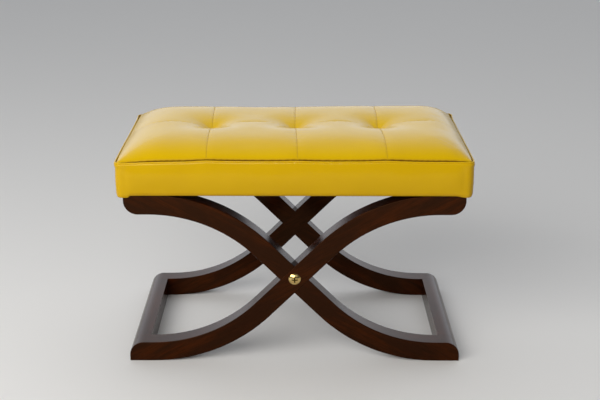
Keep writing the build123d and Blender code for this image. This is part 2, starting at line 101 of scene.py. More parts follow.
# Stage, with lengths in metres, light in watts, angles in radians, and the camera's sensor and lens in millimetres
FLOOR_REACH = 30.0
LIGHT_AIM = (0, 0, 0.35)
LIGHTS = (("key light", (-1.7, -2.8, 2.15), (4.4, 2.0), 132), ("fill light", (1.3, -2.8, 2.1), (1.8, 1.8), 4))
CAMERA_PLACE = (0.00514, -2.40975, 1.08220)
CAMERA_TURN, CAMERA_TILT, CAMERA_ROLL = -0.0025, 0.31575, 0.0025
SENSOR_WIDTH, LENS = 36, 68.56


def linear(code):
    """Turns an sRGB hex colour into linear red, green and blue."""
    parts = [int(code[place:place + 2], 16) / 255 for place in (0, 2, 4)]
    return tuple(part / 12.92 if part <= 0.04045 else ((part + 0.055) / 1.055) ** 2.4 for part in parts)


def length(name, default, description):
    """One size of the bench, in metres."""
    return FloatProperty(name=name, description=description, default=default, unit="LENGTH", precision=5)


def colour(name, code, description):
    """One colour of the bench, written as sRGB hex."""
    return FloatVectorProperty(name=name, description=description, default=linear(code), subtype="COLOR",
                               min=0, max=1)


class BenchSizes(bpy.types.PropertyGroup):
    """Sizes of the seat's soft pieces."""
    crown: length("Crown", TOP_HIGH.z - TOP_LOW.z + 2.5 * MM, "Rise of the seat's top over its edge")
    edge_roll: length("Edge roll", 28 * MM, "Length over which the crown rises from the front and rear edges")
    end_roll: length("End roll", 88 * MM, "Length over which the crown rises from the two ends")
    seat_corner: length("Seat corner", 13 * MM, "Plan radius of the seat's four corners")
    end_stand: length("End stand", 5.1 * MM, "How far the top and the piping stand out past the end bands")
    cover_shift: length("Cover shift", 0.9 * MM, "How far the top of the cover sits to the left of the middle")
    end_gap: length("End gap", 1.5 * MM, "Width of the open groove beside the piping at the two ends")
    swell_cap: length("Swell cap", 2.4 * MM, "Most that the filling's pressure lifts the top")
    tuft_reach: length("Tuft reach", 30 * MM, "How wide a tuft draws the cover down")
    tuft_floor: length("Tuft floor", 3.4 * MM, "Height of a tuft's lowest point over the rim")
    seam_dip: length("Seam dip", 1.6 * MM, "Depth of the soft channel along a seam")
    seam_reach: length("Seam reach", 10 * MM, "Half width of the soft channel along a seam")
    seam_groove: length("Seam groove", 0.55 * MM, "Depth of the narrow groove at a seam's stitches")
    pucker: length("Pucker", 0.3 * MM, "Height of the small gathers beside the seams")
    piping_radius: length("Piping radius", PIPING_RADIUS * 0.75, "Radius of the leather covered piping")
    band_bulge: length("Band bulge", 4.0 * MM, "How far the side bands swell out between piping and hem")
    band_corner: length("Band corner", 4.4 * MM, "How far the piping drops towards the seat's ends")
    piping_drop: length("Piping drop", 4.2 * MM, "How far the piping lies under its straight line")
    corner_point: length("Corner point", 1.2 * MM, "How far the seat's corners stand out past its sides")
    corner_dent: length("Corner dent", 0.9 * MM, "Depth of the soft upright dents beside the seat's corners")
    corner_tuck: length("Corner tuck", 1.5 * MM, "How far the band rolls out under the piping at the front corners")
    hem_hang: length("Hem hang", 0.8 * MM, "How far the bands hang under the board before they turn in")
    pleat_drop: length("Pleat drop", 4.4 * MM, "How far the folded corners hang under the hem line")
    dust_sag: length("Dust cover sag", 2.5 * MM, "Sag of the dust cover between its staples")


class BenchColours(bpy.types.PropertyGroup):
    """Colours of the bench and its stage."""
    leather: colour("Leather", "E2B803", "Top coat of the yellow leather")
    leather_coat: colour("Leather coat", "FFF2C4", "Tint of the leather's clear coat, seen from straight ahead")
    # Painted shade: the leather's colour darkened deep in seams, in tufts, beside the piping and under the bands
    leather_fold_shade: colour("Leather in folds", "704800", "Leather deep in seams and beside the piping")
    wood: colour("Wood", "230D05", "Dark stain on the closed grain")
    wood_red: colour("Wood, red", "3B1704", "Redder wood where the stain took less")
    wood_pore: colour("Wood pores", "1A0801", "Dark stain gathered in the pores")
    lacquer: colour("Lacquer", "FFBC89", "Tint of the lacquer on the stained wood, seen from straight ahead")
    brass: colour("Brass", "E6D092", "Polished cross screws")
    brass_dull: colour("Brass, dull", "B98F3F", "Patches of tarnish on the cross screws")
    brass_film: colour("Brass film", "3B3010", "Tarnish in the recesses of the cross screws")
    steel: colour("Steel", "B4B6B9", "Zinc plated fasteners")
    steel_dark: colour("Steel, dark", "8F9296", "Darker crystals of the zinc plating")
    beech: colour("Beech", "C9A377", "Dowels")
    beech_fleck: colour("Beech flecks", "9A7248", "Short dark flecks in the dowels")
    plywood: colour("Plywood", "C6A677", "Faces of the seat board")
    plywood_figure: colour("Plywood figure", "A98353", "Darker streaks on the seat board's faces")
    plywood_ply: colour("Plywood plies", "9C7B4E", "Darker plies on the seat board's edges")
    cord: colour("Cord", "D9BF6E", "Tuft cords")
    cord_shade: colour("Cord, shaded", "B79A4B", "Hollows between the plies of the tuft cords")
    dust_cloth: colour("Dust cloth", "1B1B1C", "Bonded cloth under the seat")
    dust_fibre: colour("Dust cloth fibres", "343436", "Paler clumps of fibres in the bonded cloth")
    floor: colour("Floor", "ECE9E4", "Plain floor of the stage")
    floor_bounce: colour("Floor bounce", "82603C", "Tone of the light that the floor throws back")
    surround_rear: colour("Surround, rear", "F2F7FF", "Pale surround behind the bench")
    surround_front: colour("Surround, front", "595A5C", "Dimmer surround before the bench")


def node(tree, kind, inputs=None, **settings):
    """Adds a node with its settings. Its inputs are given by name, as plain values or as sockets to link."""
    made = tree.nodes.new(kind)
    for name, value in settings.items():
        setattr(made, name, value)
    for name, value in (inputs or {}).items():
        if isinstance(value, bpy.types.NodeSocket):
            tree.links.new(value, made.inputs[name])
        else:
            made.inputs[name].default_value = value
    return made


def new_material(name):
    """An empty material with its shader joined to the output."""
    material = bpy.data.materials.new(name)
    material.use_nodes = True
    tree = material.node_tree
    tree.nodes.clear()
    shader = node(tree, "ShaderNodeBsdfPrincipled")
    node(tree, "ShaderNodeOutputMaterial", {"Surface": shader.outputs["BSDF"]})
    return material, tree, shader


def rgba(value):
    """A colour with full cover, as node sockets take it."""
    return (*value, 1.0)


def mark_scale(*sizes):
    """Pattern scale that draws marks of these sizes along X, Y and Z, in millimetres."""
    return tuple(1 / (size * MM) for size in sizes)


def stained_wood(name, grain_turn):
    """Beech, planed and sanded, stained espresso brown under satin lacquer. The stain hides most of the grain and
    gathers in the pores as fine dark dashes, and the lacquer mirrors bright surroundings at a low angle."""
    colours = bpy.context.scene.bench_colours
    material, tree, shader = new_material(name)
    place = node(tree, "ShaderNodeTexCoord").outputs["Object"]
    turned = node(tree, "ShaderNodeMapping", {"Vector": place, "Rotation": grain_turn}, vector_type="TEXTURE")
    # Pores are about 1 mm wide, drawn four times as wide as real ones so that they show, and 30 mm long.
    pores = node(tree, "ShaderNodeMapping", {"Vector": turned.outputs["Vector"], "Scale": mark_scale(30.3, 1.11, 1.11)})
    pore = node(tree, "ShaderNodeTexNoise", {"Vector": pores.outputs["Vector"], "Scale": 1, "Detail": 3})
    # Year rings give streaks about 9 mm wide and 250 mm long.
    rings = node(tree, "ShaderNodeMapping", {"Vector": turned.outputs["Vector"], "Scale": mark_scale(250, 9.09, 9.09)})
    ring = node(tree, "ShaderNodeTexNoise", {"Vector": rings.outputs["Vector"], "Scale": 1, "Detail": 2,
                                             "Distortion": 0.6})
    # The stain takes unevenly, in soft patches about 90 mm long and 30 mm wide.
    patches = node(tree, "ShaderNodeMapping", {"Vector": turned.outputs["Vector"],
                                               "Scale": mark_scale(90.9, 30.3, 30.3)})
    patch = node(tree, "ShaderNodeTexNoise", {"Vector": patches.outputs["Vector"], "Scale": 1, "Detail": 2})
    uneven = node(tree, "ShaderNodeMix", {"Factor": 0.6, "A": ring.outputs["Fac"], "B": patch.outputs["Fac"]})
    streak = node(tree, "ShaderNodeMapRange", {"Value": uneven.outputs["Result"], "From Min": 0.36, "From Max": 0.58})
    dash = node(tree, "ShaderNodeMapRange", {"Value": pore.outputs["Fac"], "From Min": 0.52, "From Max": 0.68})
    stain = node(tree, "ShaderNodeMix", {"Factor": streak.outputs["Result"], "B": rgba(colours.wood),
                                         "A": rgba(colours.wood_red)}, data_type="RGBA")
    worn = node(tree, "ShaderNodeMix", {"Factor": dash.outputs["Result"], "A": stain.outputs["Result"],
                                        "B": rgba(colours.wood_pore)}, data_type="RGBA")
    rough = node(tree, "ShaderNodeMapRange", {"Value": ring.outputs["Fac"], "To Min": 0.16, "To Max": 0.24})
    soft_edge = node(tree, "ShaderNodeBevel", {"Radius": 0.9 * MM}, samples=4)
    relief = node(tree, "ShaderNodeBump", {"Height": dash.outputs["Result"], "Strength": 0.08, "Distance": 0.1 * MM,
                                           "Normal": soft_edge.outputs["Normal"]}, invert=True)
    tree.links.new(worn.outputs["Result"], shader.inputs["Base Color"])
    tree.links.new(rough.outputs["Result"], shader.inputs["Roughness"])
    tree.links.new(relief.outputs["Normal"], shader.inputs["Normal"])
    shader.inputs["IOR"].default_value = 1.5
    shader.inputs["Specular IOR Level"].default_value = 0.21
    shader.inputs["Specular Tint"].default_value = rgba(colours.lacquer)
    return material


def yellow_leather():
    """Leather split with a coloured polyurethane top coat, embossed with a fine pebble grain. The coat is smooth and
    half glossy, so it stays a full yellow where it faces the eye and turns pale where it is seen at a low angle."""
    colours = bpy.context.scene.bench_colours
    material, tree, shader = new_material("coated leather yellow")
    place = node(tree, "ShaderNodeTexCoord").outputs["Object"]
    # The embossed cells are 0.8 mm wide on the real cover, drawn at 1.6 mm so that they show.
    cells = node(tree, "ShaderNodeTexVoronoi", {"Vector": place, "Scale": 1 / (1.6 * MM), "Randomness": 0.9},
                 feature="SMOOTH_F1")
    # The hide's tension makes soft patches about 70 mm wide, and handling leaves its shine uneven over about 5 mm.
    patch = node(tree, "ShaderNodeTexNoise", {"Vector": place, "Scale": 1 / (70 * MM), "Detail": 3})
    speck = node(tree, "ShaderNodeTexNoise", {"Vector": place, "Scale": 1 / (5 * MM), "Detail": 2})
    # The fold attribute is each point's share of painted shade, which darkens the leather towards its painted shade
    # colour, and it also dulls the leather's shine
    fold = node(tree, "ShaderNodeAttribute", attribute_name="fold")
    paler = node(tree, "ShaderNodeHueSaturation", {"Color": rgba(colours.leather), "Value": 1.04})
    deeper = node(tree, "ShaderNodeHueSaturation", {"Color": rgba(colours.leather), "Hue": 0.497, "Value": 0.95})
    patched = node(tree, "ShaderNodeMix", {"Factor": patch.outputs["Fac"], "A": deeper.outputs["Color"],
                                           "B": paler.outputs["Color"]}, data_type="RGBA")
    folded = node(tree, "ShaderNodeMix", {"Factor": fold.outputs["Fac"], "A": patched.outputs["Result"],
                                          "B": rgba(colours.leather_fold_shade)}, data_type="RGBA")
    sheen = node(tree, "ShaderNodeMapRange", {"Value": speck.outputs["Fac"], "To Min": 0.15, "To Max": 0.24})
    # Handling doesn't polish the leather down in a seam, so it stays dull there.
    dull = node(tree, "ShaderNodeMath", {0: fold.outputs["Fac"], 1: 2.4}, operation="MULTIPLY", use_clamp=True)
    rough = node(tree, "ShaderNodeMath", {0: sheen.outputs["Result"], 1: dull.outputs["Value"]}, operation="MAXIMUM")
    grain = node(tree, "ShaderNodeBump", {"Height": cells.outputs["Distance"], "Strength": 0.08,
                                          "Distance": 0.15 * MM})
    tree.links.new(folded.outputs["Result"], shader.inputs["Base Color"])
    tree.links.new(rough.outputs["Value"], shader.inputs["Roughness"])
    tree.links.new(grain.outputs["Normal"], shader.inputs["Normal"])
    shader.inputs["IOR"].default_value = 1.5
    shader.inputs["Specular IOR Level"].default_value = 0.38
    shader.inputs["Specular Tint"].default_value = rgba(colours.leather_coat)
    return material


def polished_brass():
    """Brass, turned and polished, which mirrors its surroundings in gold. A little tarnish dulls it in patches, and
    gathers as a dark olive film in the cross recess, where no cloth reaches."""
    colours = bpy.context.scene.bench_colours
    material, tree, shader = new_material("polished brass")
    place = node(tree, "ShaderNodeTexCoord").outputs["Object"]
    # Tarnish dulls the brass in spots about 6 mm wide.
    tarnish = node(tree, "ShaderNodeTexNoise", {"Vector": place, "Scale": 1 / (6 * MM), "Detail": 4})
    tone = node(tree, "ShaderNodeMix", {"Factor": tarnish.outputs["Fac"], "A": rgba(colours.brass),
                                        "B": rgba(colours.brass_dull)}, data_type="RGBA")
    rough = node(tree, "ShaderNodeMapRange", {"Value": tarnish.outputs["Fac"], "To Min": 0.10, "To Max": 0.18})
    # The recess is the part of each head within 7 mm of the screw's axis and 1.5 mm or more under the dome's top.
    low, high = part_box(CROSS_SCREWS[0])
    axes = node(tree, "ShaderNodeSeparateXYZ", {"Vector": place})
    above = node(tree, "ShaderNodeMath", {0: axes.outputs["Z"], 1: (low.z + high.z) / 2}, operation="SUBTRACT")
    flat = node(tree, "ShaderNodeCombineXYZ", {"X": axes.outputs["X"], "Z": above.outputs["Value"]})
    spread = node(tree, "ShaderNodeVectorMath", {0: flat.outputs["Vector"]}, operation="LENGTH")
    middle = node(tree, "ShaderNodeMath", {0: spread.outputs["Value"], 1: 7 * MM}, operation="LESS_THAN")
    depth = node(tree, "ShaderNodeMath", {0: axes.outputs["Y"]}, operation="ABSOLUTE")
    under = node(tree, "ShaderNodeMath", {0: depth.outputs["Value"], 1: -low.y - 1.5 * MM}, operation="LESS_THAN")
    recess = node(tree, "ShaderNodeMath", {0: middle.outputs["Value"], 1: under.outputs["Value"]},
                  operation="MULTIPLY")
    filmed = node(tree, "ShaderNodeMix", {"Factor": recess.outputs["Value"], "A": tone.outputs["Result"],
                                          "B": rgba(colours.brass_film)}, data_type="RGBA")
    tree.links.new(filmed.outputs["Result"], shader.inputs["Base Color"])
    tree.links.new(rough.outputs["Result"], shader.inputs["Roughness"])
    shader.inputs["Metallic"].default_value = 1
    return material


def zinc_steel():
    """Steel with a bright zinc plating, which has a faint crystal mottle and a grey, even shine."""
    colours = bpy.context.scene.bench_colours
    material, tree, shader = new_material("zinc plated steel")
    place = node(tree, "ShaderNodeTexCoord").outputs["Object"]
    # The crystals of the plating are about 2.5 mm wide.
    mottle = node(tree, "ShaderNodeTexVoronoi", {"Vector": place, "Scale": 1 / (2.5 * MM)})
    tone = node(tree, "ShaderNodeMix", {"Factor": mottle.outputs["Distance"], "A": rgba(colours.steel),
                                        "B": rgba(colours.steel_dark)}, data_type="RGBA")
    rough = node(tree, "ShaderNodeMapRange", {"Value": mottle.outputs["Distance"], "To Min": 0.28, "To Max": 0.42})
    tree.links.new(tone.outputs["Result"], shader.inputs["Base Color"])
    tree.links.new(rough.outputs["Result"], shader.inputs["Roughness"])
    shader.inputs["Metallic"].default_value = 1
    return material


def plain_beech():
    """Beech, turned and left bare, pale pink brown with short dark flecks along the dowel."""
    colours = bpy.context.scene.bench_colours
    material, tree, shader = new_material("turned beech")
    place = node(tree, "ShaderNodeTexCoord").outputs["Object"]
    # Flecks are about 0.5 mm wide and 4 mm long, along the dowels.
    along = node(tree, "ShaderNodeMapping", {"Vector": place, "Scale": mark_scale(0.556, 4, 0.556)})
    fleck = node(tree, "ShaderNodeTexNoise", {"Vector": along.outputs["Vector"], "Scale": 1, "Detail": 2})
    dark = node(tree, "ShaderNodeMapRange", {"Value": fleck.outputs["Fac"], "From Min": 0.5, "From Max": 0.7})
    tone = node(tree, "ShaderNodeMix", {"Factor": dark.outputs["Result"], "A": rgba(colours.beech),
                                        "B": rgba(colours.beech_fleck)}, data_type="RGBA")
    tree.links.new(tone.outputs["Result"], shader.inputs["Base Color"])
    shader.inputs["Roughness"].default_value = 0.55
    return material


def birch_plywood():
    """Birch plywood, sawn and sanded, with pale faces and thin plies of two tones that show on its edges."""
    colours = bpy.context.scene.bench_colours
    material, tree, shader = new_material("birch plywood")
    place = node(tree, "ShaderNodeTexCoord").outputs["Object"]
    axes = node(tree, "ShaderNodeSeparateXYZ", {"Vector": place})
    # Plies are 1.5 mm thick, so two of them make one full wave of 3 mm.
    ply = node(tree, "ShaderNodeMath", {0: axes.outputs["Z"], 1: 2 * pi / (3 * MM)}, operation="MULTIPLY")
    wave = node(tree, "ShaderNodeMath", {0: ply.outputs["Value"]}, operation="SINE")
    edge = node(tree, "ShaderNodeMapRange", {"Value": wave.outputs["Value"], "From Min": -0.2, "From Max": 0.2})
    # The face veneer's figure runs along the board in streaks about 3 mm wide and 80 mm long.
    along = node(tree, "ShaderNodeMapping", {"Vector": place, "Scale": mark_scale(83.3, 3.03, 3.03)})
    figure = node(tree, "ShaderNodeTexNoise", {"Vector": along.outputs["Vector"], "Scale": 1, "Detail": 3})
    face = node(tree, "ShaderNodeMix", {"Factor": figure.outputs["Fac"], "A": rgba(colours.plywood),
                                        "B": rgba(colours.plywood_figure)}, data_type="RGBA")
    tone = node(tree, "ShaderNodeMix", {"Factor": edge.outputs["Result"], "A": face.outputs["Result"],
                                        "B": rgba(colours.plywood_ply)}, data_type="RGBA")
    tree.links.new(tone.outputs["Result"], shader.inputs["Base Color"])
    shader.inputs["Roughness"].default_value = 0.65
    return material


def twisted_cord():
    """Cotton cord, twisted from plies, dull, with slanted light and dark bands."""
    colours = bpy.context.scene.bench_colours
    material, tree, shader = new_material("twisted cotton cord")
    place = node(tree, "ShaderNodeTexCoord").outputs["Object"]
    # The cord's plies are 1.5 mm apart, and its slanted bands are drawn about 11 mm apart along it so that they show.
    slant = node(tree, "ShaderNodeMapping", {"Vector": place, "Rotation": (0.6, 0.5, 0)})
    ply = node(tree, "ShaderNodeTexWave", {"Vector": slant.outputs["Vector"], "Scale": 1 / (10 * MM),
                                           "Distortion": 0.4}, bands_direction="DIAGONAL")
    tone = node(tree, "ShaderNodeMix", {"Factor": ply.outputs["Fac"], "A": rgba(colours.cord_shade),
                                        "B": rgba(colours.cord)}, data_type="RGBA")
    tree.links.new(tone.outputs["Result"], shader.inputs["Base Color"])
    shader.inputs["Roughness"].default_value = 0.9
    return material


def bonded_cloth():
    """Polypropylene fibres, laid at random and bonded with rows of hot dots: a dull black cloth with a fine dotted
    texture."""
    colours = bpy.context.scene.bench_colours
    material, tree, shader = new_material("bonded dust cloth black")
    place = node(tree, "ShaderNodeTexCoord").outputs["Object"]
    # The bonding dots are 1.2 mm apart on the real cloth, drawn at 2.4 mm so that they show. Fibres clump over 9 mm.
    dots = node(tree, "ShaderNodeTexVoronoi", {"Vector": place, "Scale": 1 / (2.4 * MM), "Randomness": 0.15})
    fibres = node(tree, "ShaderNodeTexNoise", {"Vector": place, "Scale": 1 / (9 * MM), "Detail": 6,
                                               "Roughness": 0.7})
    tone = node(tree, "ShaderNodeMix", {"Factor": fibres.outputs["Fac"], "A": rgba(colours.dust_cloth),
                                        "B": rgba(colours.dust_fibre)}, data_type="RGBA")
    relief = node(tree, "ShaderNodeBump", {"Height": dots.outputs["Distance"], "Strength": 0.35,
                                           "Distance": 0.2 * MM})
    tree.links.new(tone.outputs["Result"], shader.inputs["Base Color"])
    tree.links.new(relief.outputs["Normal"], shader.inputs["Normal"])
    shader.inputs["Roughness"].default_value = 0.92
    shader.inputs["Specular IOR Level"].default_value = 0.2
    return material


def finish_nodes(names, material):
    """Gives CAD nodes their finish."""
    for name in names:
        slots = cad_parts[name].data.materials
        slots.clear()
        slots.append(material)


def new_piece(name, points, faces, material, replaced, fold=None):
    """A mesh piece of the bench that rides on its body and stands for CAD nodes."""
    mesh = bpy.data.meshes.new(name)
    mesh.from_pydata([tuple(point) for point in points], [], faces)
    mesh.validate()
    mesh.polygons.foreach_set("use_smooth", [True] * len(mesh.polygons))
    # The fold attribute is each point's share of painted shade, which also dulls the leather
    if fold is not None:
        mesh.attributes.new("fold", "FLOAT", "POINT").data.foreach_set("value", np.asarray(fold, dtype=np.float32))
    mesh.materials.append(material)
    piece = bpy.data.objects.new(name, mesh)
    bpy.context.scene.collection.objects.link(piece)
    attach(piece, "root")
    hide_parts(*replaced)
    return piece


def grid_lines(start, stop, step, fine):
    """Places from start to stop, close together at both ends and a step apart between them."""
    growth = 1.5
    gaps = [fine]
    while gaps[-1] * growth < step:
        gaps.append(gaps[-1] * growth)
    middle = stop - start - 2 * sum(gaps)
    count = max(1, ceil(middle / step))
    gaps = gaps + [middle / count] * count + gaps[::-1]
    return start + np.concatenate([[0], np.cumsum(gaps)])


def seat_lines(half, seams):
    """Grid lines over the seat's top, close together at the edges and at each seam."""
    step, fine = 3.2 * MM, 0.4 * MM
    stops = [-half, *seams, half]
    runs = [grid_lines(low, high, step, fine) for low, high in zip(stops, stops[1:])]
    return np.concatenate([runs[0]] + [run[1:] for run in runs[1:]])


def rounded_corners(x, y, half_x, half_y, radius):
    """Draws the corners of a rectangular grid in to a round plan."""
    over_x = np.maximum(np.abs(x) - half_x + radius, 0)
    over_y = np.maximum(np.abs(y) - half_y + radius, 0)
    span = np.hypot(over_x, over_y)
    share = np.where(span > 0, np.maximum(over_x, over_y) / np.maximum(span, TINY), 1)
    return (np.sign(x) * (np.abs(x) - over_x + over_x * share), np.sign(y) * (np.abs(y) - over_y + over_y * share))


def loop_round(rows, columns):
    """Indices round the border of a grid, anticlockwise from its front left corner."""
    front = list(range(columns - 1))
    right = [row * columns + columns - 1 for row in range(rows - 1)]
    rear = [(rows - 1) * columns + column for column in range(columns - 1, 0, -1)]
    left = [row * columns for row in range(rows - 1, 0, -1)]
    return front + right + rear + left


def grid_faces(rows, columns):
    """Four-sided faces of a grid, which face up."""
    index = np.arange(rows * columns).reshape(rows, columns).tolist()
    return [(index[row][column], index[row][column + 1], index[row + 1][column + 1], index[row + 1][column])
            for row in range(rows - 1) for column in range(columns - 1)]


def ring_faces(upper, lower):
    """Four-sided faces between two closed rings of points, which face out."""
    after = [*range(1, len(upper)), 0]
    return [(upper[second], upper[first], lower[first], lower[second]) for first, second in enumerate(after)]


def between(lines_x, lines_y, values, x, y):
    """Values of a grid at other places, mixed from the four grid points round each."""
    column = np.clip(np.searchsorted(lines_x, x) - 1, 0, len(lines_x) - 2)
    row = np.clip(np.searchsorted(lines_y, y) - 1, 0, len(lines_y) - 2)
    across = np.clip((x - lines_x[column]) / (lines_x[1] - lines_x[0]), 0, 1)
    along = np.clip((y - lines_y[row]) / (lines_y[1] - lines_y[0]), 0, 1)
    near = values[row, column] * (1 - across) + values[row, column + 1] * across
    far = values[row + 1, column] * (1 - across) + values[row + 1, column + 1] * across
    return near * (1 - along) + far * along


def smooth(share):
    """Eases a share between 0 and 1 in and out."""
    return share * share * (3 - 2 * share)


def roughness_of_hand(x, y, size, seed):
    """Smooth random unevenness between about -1 and 1, with the given feature size."""
    gain = 1.6
    places = zip(np.ravel(x) / size, np.ravel(y) / size)
    values = [noise.noise(Vector((a, b, seed))) for a, b in places]
    return np.reshape(values, np.shape(x)) * gain


def gathers(along, pitch, sway, drift, start=0):
    """Small gathers along a line, from -1 to 1. Their pitch sways, so that no two are alike."""
    return np.sin(along / pitch + sway * np.sin(along / drift) + start)


def edge_gathers(along):
    """Gathers where the top and the side bands are sewn to the piping."""
    return gathers(along, pitch=2.3 * MM, sway=2.5, drift=21 * MM)


def from_corner(x, y):
    """How far points lie from the nearest corner of the seat, measured along its sides."""
    return SEAT_X - np.abs(x) + SEAT_Y - np.abs(y)


def near_ends(x, reach):
    """Share that grows from 0 to 1 towards each end of the seat, over the given length."""
    return np.clip((np.abs(x) - SEAT_X) / reach + 1, 0, 1) ** 2


def seam_offsets(x, y):
    """Distances from the three cross seams and from the long seam."""
    return [np.abs(x - seam) for seam in SEAM_X] + [np.abs(y)]


def tuft_offsets(x, y):
    """Distances from the three tufts, measured so that the dimples are a little square."""
    power = 2.6
    return [(np.abs(x - seam) ** power + np.abs(y) ** power) ** (1 / power) for seam in SEAM_X]


def edge_wave(x, y, sizes):
    """Rise and fall of the piping line: drawn up where a seam meets it, and lower towards the corners."""
    lift, lift_reach = 1.2 * MM, 28 * MM
    wander, wander_size = 0.35 * MM, 55 * MM
    right_share, bend = 0.25, 1.15
    pull = sum(np.exp(-((x - seam) / lift_reach) ** 2) for seam in SEAM_X)
    past = np.clip((np.abs(x) - SEAM_X[-1]) / (SEAT_X - SEAM_X[-1]), 0, 1)
    corner = sizes.band_corner * np.where(x > 0, right_share, 1.0)
    uneven = wander * roughness_of_hand(x, y, wander_size, seed=3.7)
    return lift * pull - corner * past ** bend + uneven - sizes.piping_drop


def seam_drift(x, y):
    """Sideways wander of the cover, which carries the cross seams off their straight lines."""
    front, rear = (np.interp(x, PANEL_STOPS, [0, *drift, 0]) * MM for drift in (FRONT_DRIFT, REAR_DRIFT))
    return np.where(y < 0, front, rear) * (np.abs(y) / SEAT_Y)


def end_push(x, y, sizes):
    """Sideways shift that makes the top and the piping stand out past the end bands, less so at the front corners."""
    end_reach, front_loss, front_reach = 120 * MM, 0.5, 25 * MM
    eased = 1 - front_loss * np.exp(-np.maximum(SEAT_Y + y, 0) / front_reach)
    return near_ends(x, end_reach) * (np.sign(x) * sizes.end_stand * eased - sizes.cover_shift)


def fold_shade_share(x, y):
    """How open the fold beside the piping is, as a share of painted shade from 0 to 1: the cover is pulled tight round
    all but one corner, so the shade fades there.
    """
    left_reach, right_reach, tightness = 13 * MM, 7 * MM, 1.3
    reach = np.where(x > 0, right_reach, left_reach)
    tight = np.clip(tightness * np.exp(-(from_corner(x, y) / reach) ** 2), 0, 1)
    rear_left = (x < 0) & (y > 0)
    return np.where(rear_left, 1.0, 1 - tight)


def corner_spread(x, y, sizes):
    """How far the seat's corners stand out, which is more at the rear than at the front."""
    reach, rear_right, rear_left = 30 * MM, 4.8, 4.0
    share = np.where(y > 0, np.where(x > 0, rear_right, rear_left), 1.0)
    return sizes.corner_point * np.exp(-from_corner(x, y) / reach) * share


def corner_pleat(x, y):
    """Share of the drop at the folded corners. The fold ends sharply at the front left, and slopes elsewhere."""
    sharp = (x < 0) & (y < 0)
    reach = np.where(sharp, 27 * MM, 36 * MM)
    slope = np.where(sharp, 5 * MM, 26 * MM)
    depth = np.where(sharp, 1.0, 0.7)
    return depth * smooth(np.clip((reach - from_corner(x, y)) / slope, 0, 1))


def plumpness(x, y, sizes):
    """Share of the crown at each point of the top, which falls off in the rolls along the edges."""
    edge_loss, front_inset, right_share = 0.94, 1.5 * MM, 0.7
    end_roll = sizes.end_roll * np.where(x > 0, right_share, 1.0)
    to_end = np.clip(SEAT_X - TOP_INSET - np.abs(x), 0, end_roll)
    to_front = SEAT_Y - front_inset - np.abs(y)
    along = 1 - edge_loss * (1 - to_end / end_roll) ** 2
    return along * (1 - edge_loss * np.exp(-to_front / sizes.edge_roll))


def filled_rise(x, y, plump, sizes):
    """Rise of the stuffed top over its rim, with a soft channel along each seam."""
    rear_run = 120 * MM
    lump, lump_size = 0.6 * MM, 95 * MM
    rear = np.clip(0.5 + y / rear_run, 0, 1)
    rise = (sizes.crown + MM * np.interp(x, PANEL_MIDDLES, REAR_FILL) * rear) * plump
    for off, depth in zip(seam_offsets(x, y), SEAM_DEPTHS):
        rise = rise - depth * sizes.seam_dip * np.exp(-off / sizes.seam_reach) * plump
    return rise + lump * plump * roughness_of_hand(x, y, lump_size, seed=1.3)


def tufted_rise(rise, x, y, sizes):
    """The rise drawn down at the three tufts, with gathers that run out from each of them."""
    dimple_bend = 1.25
    many, few, few_share = 9, 5, 0.6
    star_lift, star_reach = 1.6 * sizes.pucker, 9 * MM
    for number, (seam, off) in enumerate(zip(SEAM_X, tuft_offsets(x, y))):
        pull = 1 - np.exp(-(off / sizes.tuft_reach) ** dimple_bend)
        rise = sizes.tuft_floor + (rise - sizes.tuft_floor) * pull
        turn = np.arctan2(y, x - seam)
        star = np.cos(many * turn + number) + few_share * np.cos(few * turn + 2 * number)
        rise = rise + star_lift * star * (off / star_reach) * np.exp(1 - off / star_reach)
    return rise


def sewn_rise(rise, x, y, plump, sizes):
    """The rise with a groove and small gathers at each seam, and fine creases at the cross seams' front ends."""
    gather_reach, groove_width = 6 * MM, 1.3 * MM
    for number, (off, depth) in enumerate(zip(seam_offsets(x, y), SEAM_DEPTHS)):
        along = y if number < len(SEAM_X) else x
        gather = gathers(along, pitch=2.1 * MM, sway=2, drift=17 * MM, start=number)
        rise = rise + sizes.pucker * gather * np.exp(-off / gather_reach) * plump
        rise = rise - depth * sizes.seam_groove * np.exp(-off / groove_width)
    crease_depth, crease_width = 0.4 * MM, 1.5 * MM
    crease_growth, crease_onset, crease_end = 2.2, 1.15, 9 * MM
    share = np.clip(-y / SEAT_Y * crease_growth - crease_onset, 0, 1) * np.clip((SEAT_Y + y) / crease_end, 0, 1)
    for seam, creases in zip(SEAM_X, SHOULDER_CREASES):
        for off in creases:
            rise = rise - crease_depth * np.exp(-((x - seam - off * MM) / crease_width) ** 2) * share
    return rise


def top_edge(x, y):
    """Distance of each point from the top's edge, and how far the nearest edge is an end, from 0 to 1."""
    blend = 16 * MM
    to_end, to_front = SEAT_X - np.abs(x), SEAT_Y - np.abs(y)
    border = np.maximum(np.minimum(to_end, to_front) - TOP_INSET, 0)
    return border, np.clip(0.5 + (to_front - to_end) / blend, 0, 1)


def edge_rise(x, y, border, end, sizes):
    """Gathers beside the piping, and the top's drop to it, which is steeper along the front and rear."""
    gather_lift, gather_reach = 0.9 * sizes.pucker, 7 * MM
    side_drop, side_width = 2.2 * MM, 1.7 * MM
    end_drop, end_width = 1.4 * MM, 4 * MM
    along = np.where(SEAT_X - np.abs(x) < SEAT_Y - np.abs(y), y, x)
    gather = gather_lift * edge_gathers(along) * np.exp(-border / gather_reach)
    drop = side_drop * np.exp(-border / side_width) * (1 - end) + end_drop * np.exp(-border / end_width) * end
    return gather - drop


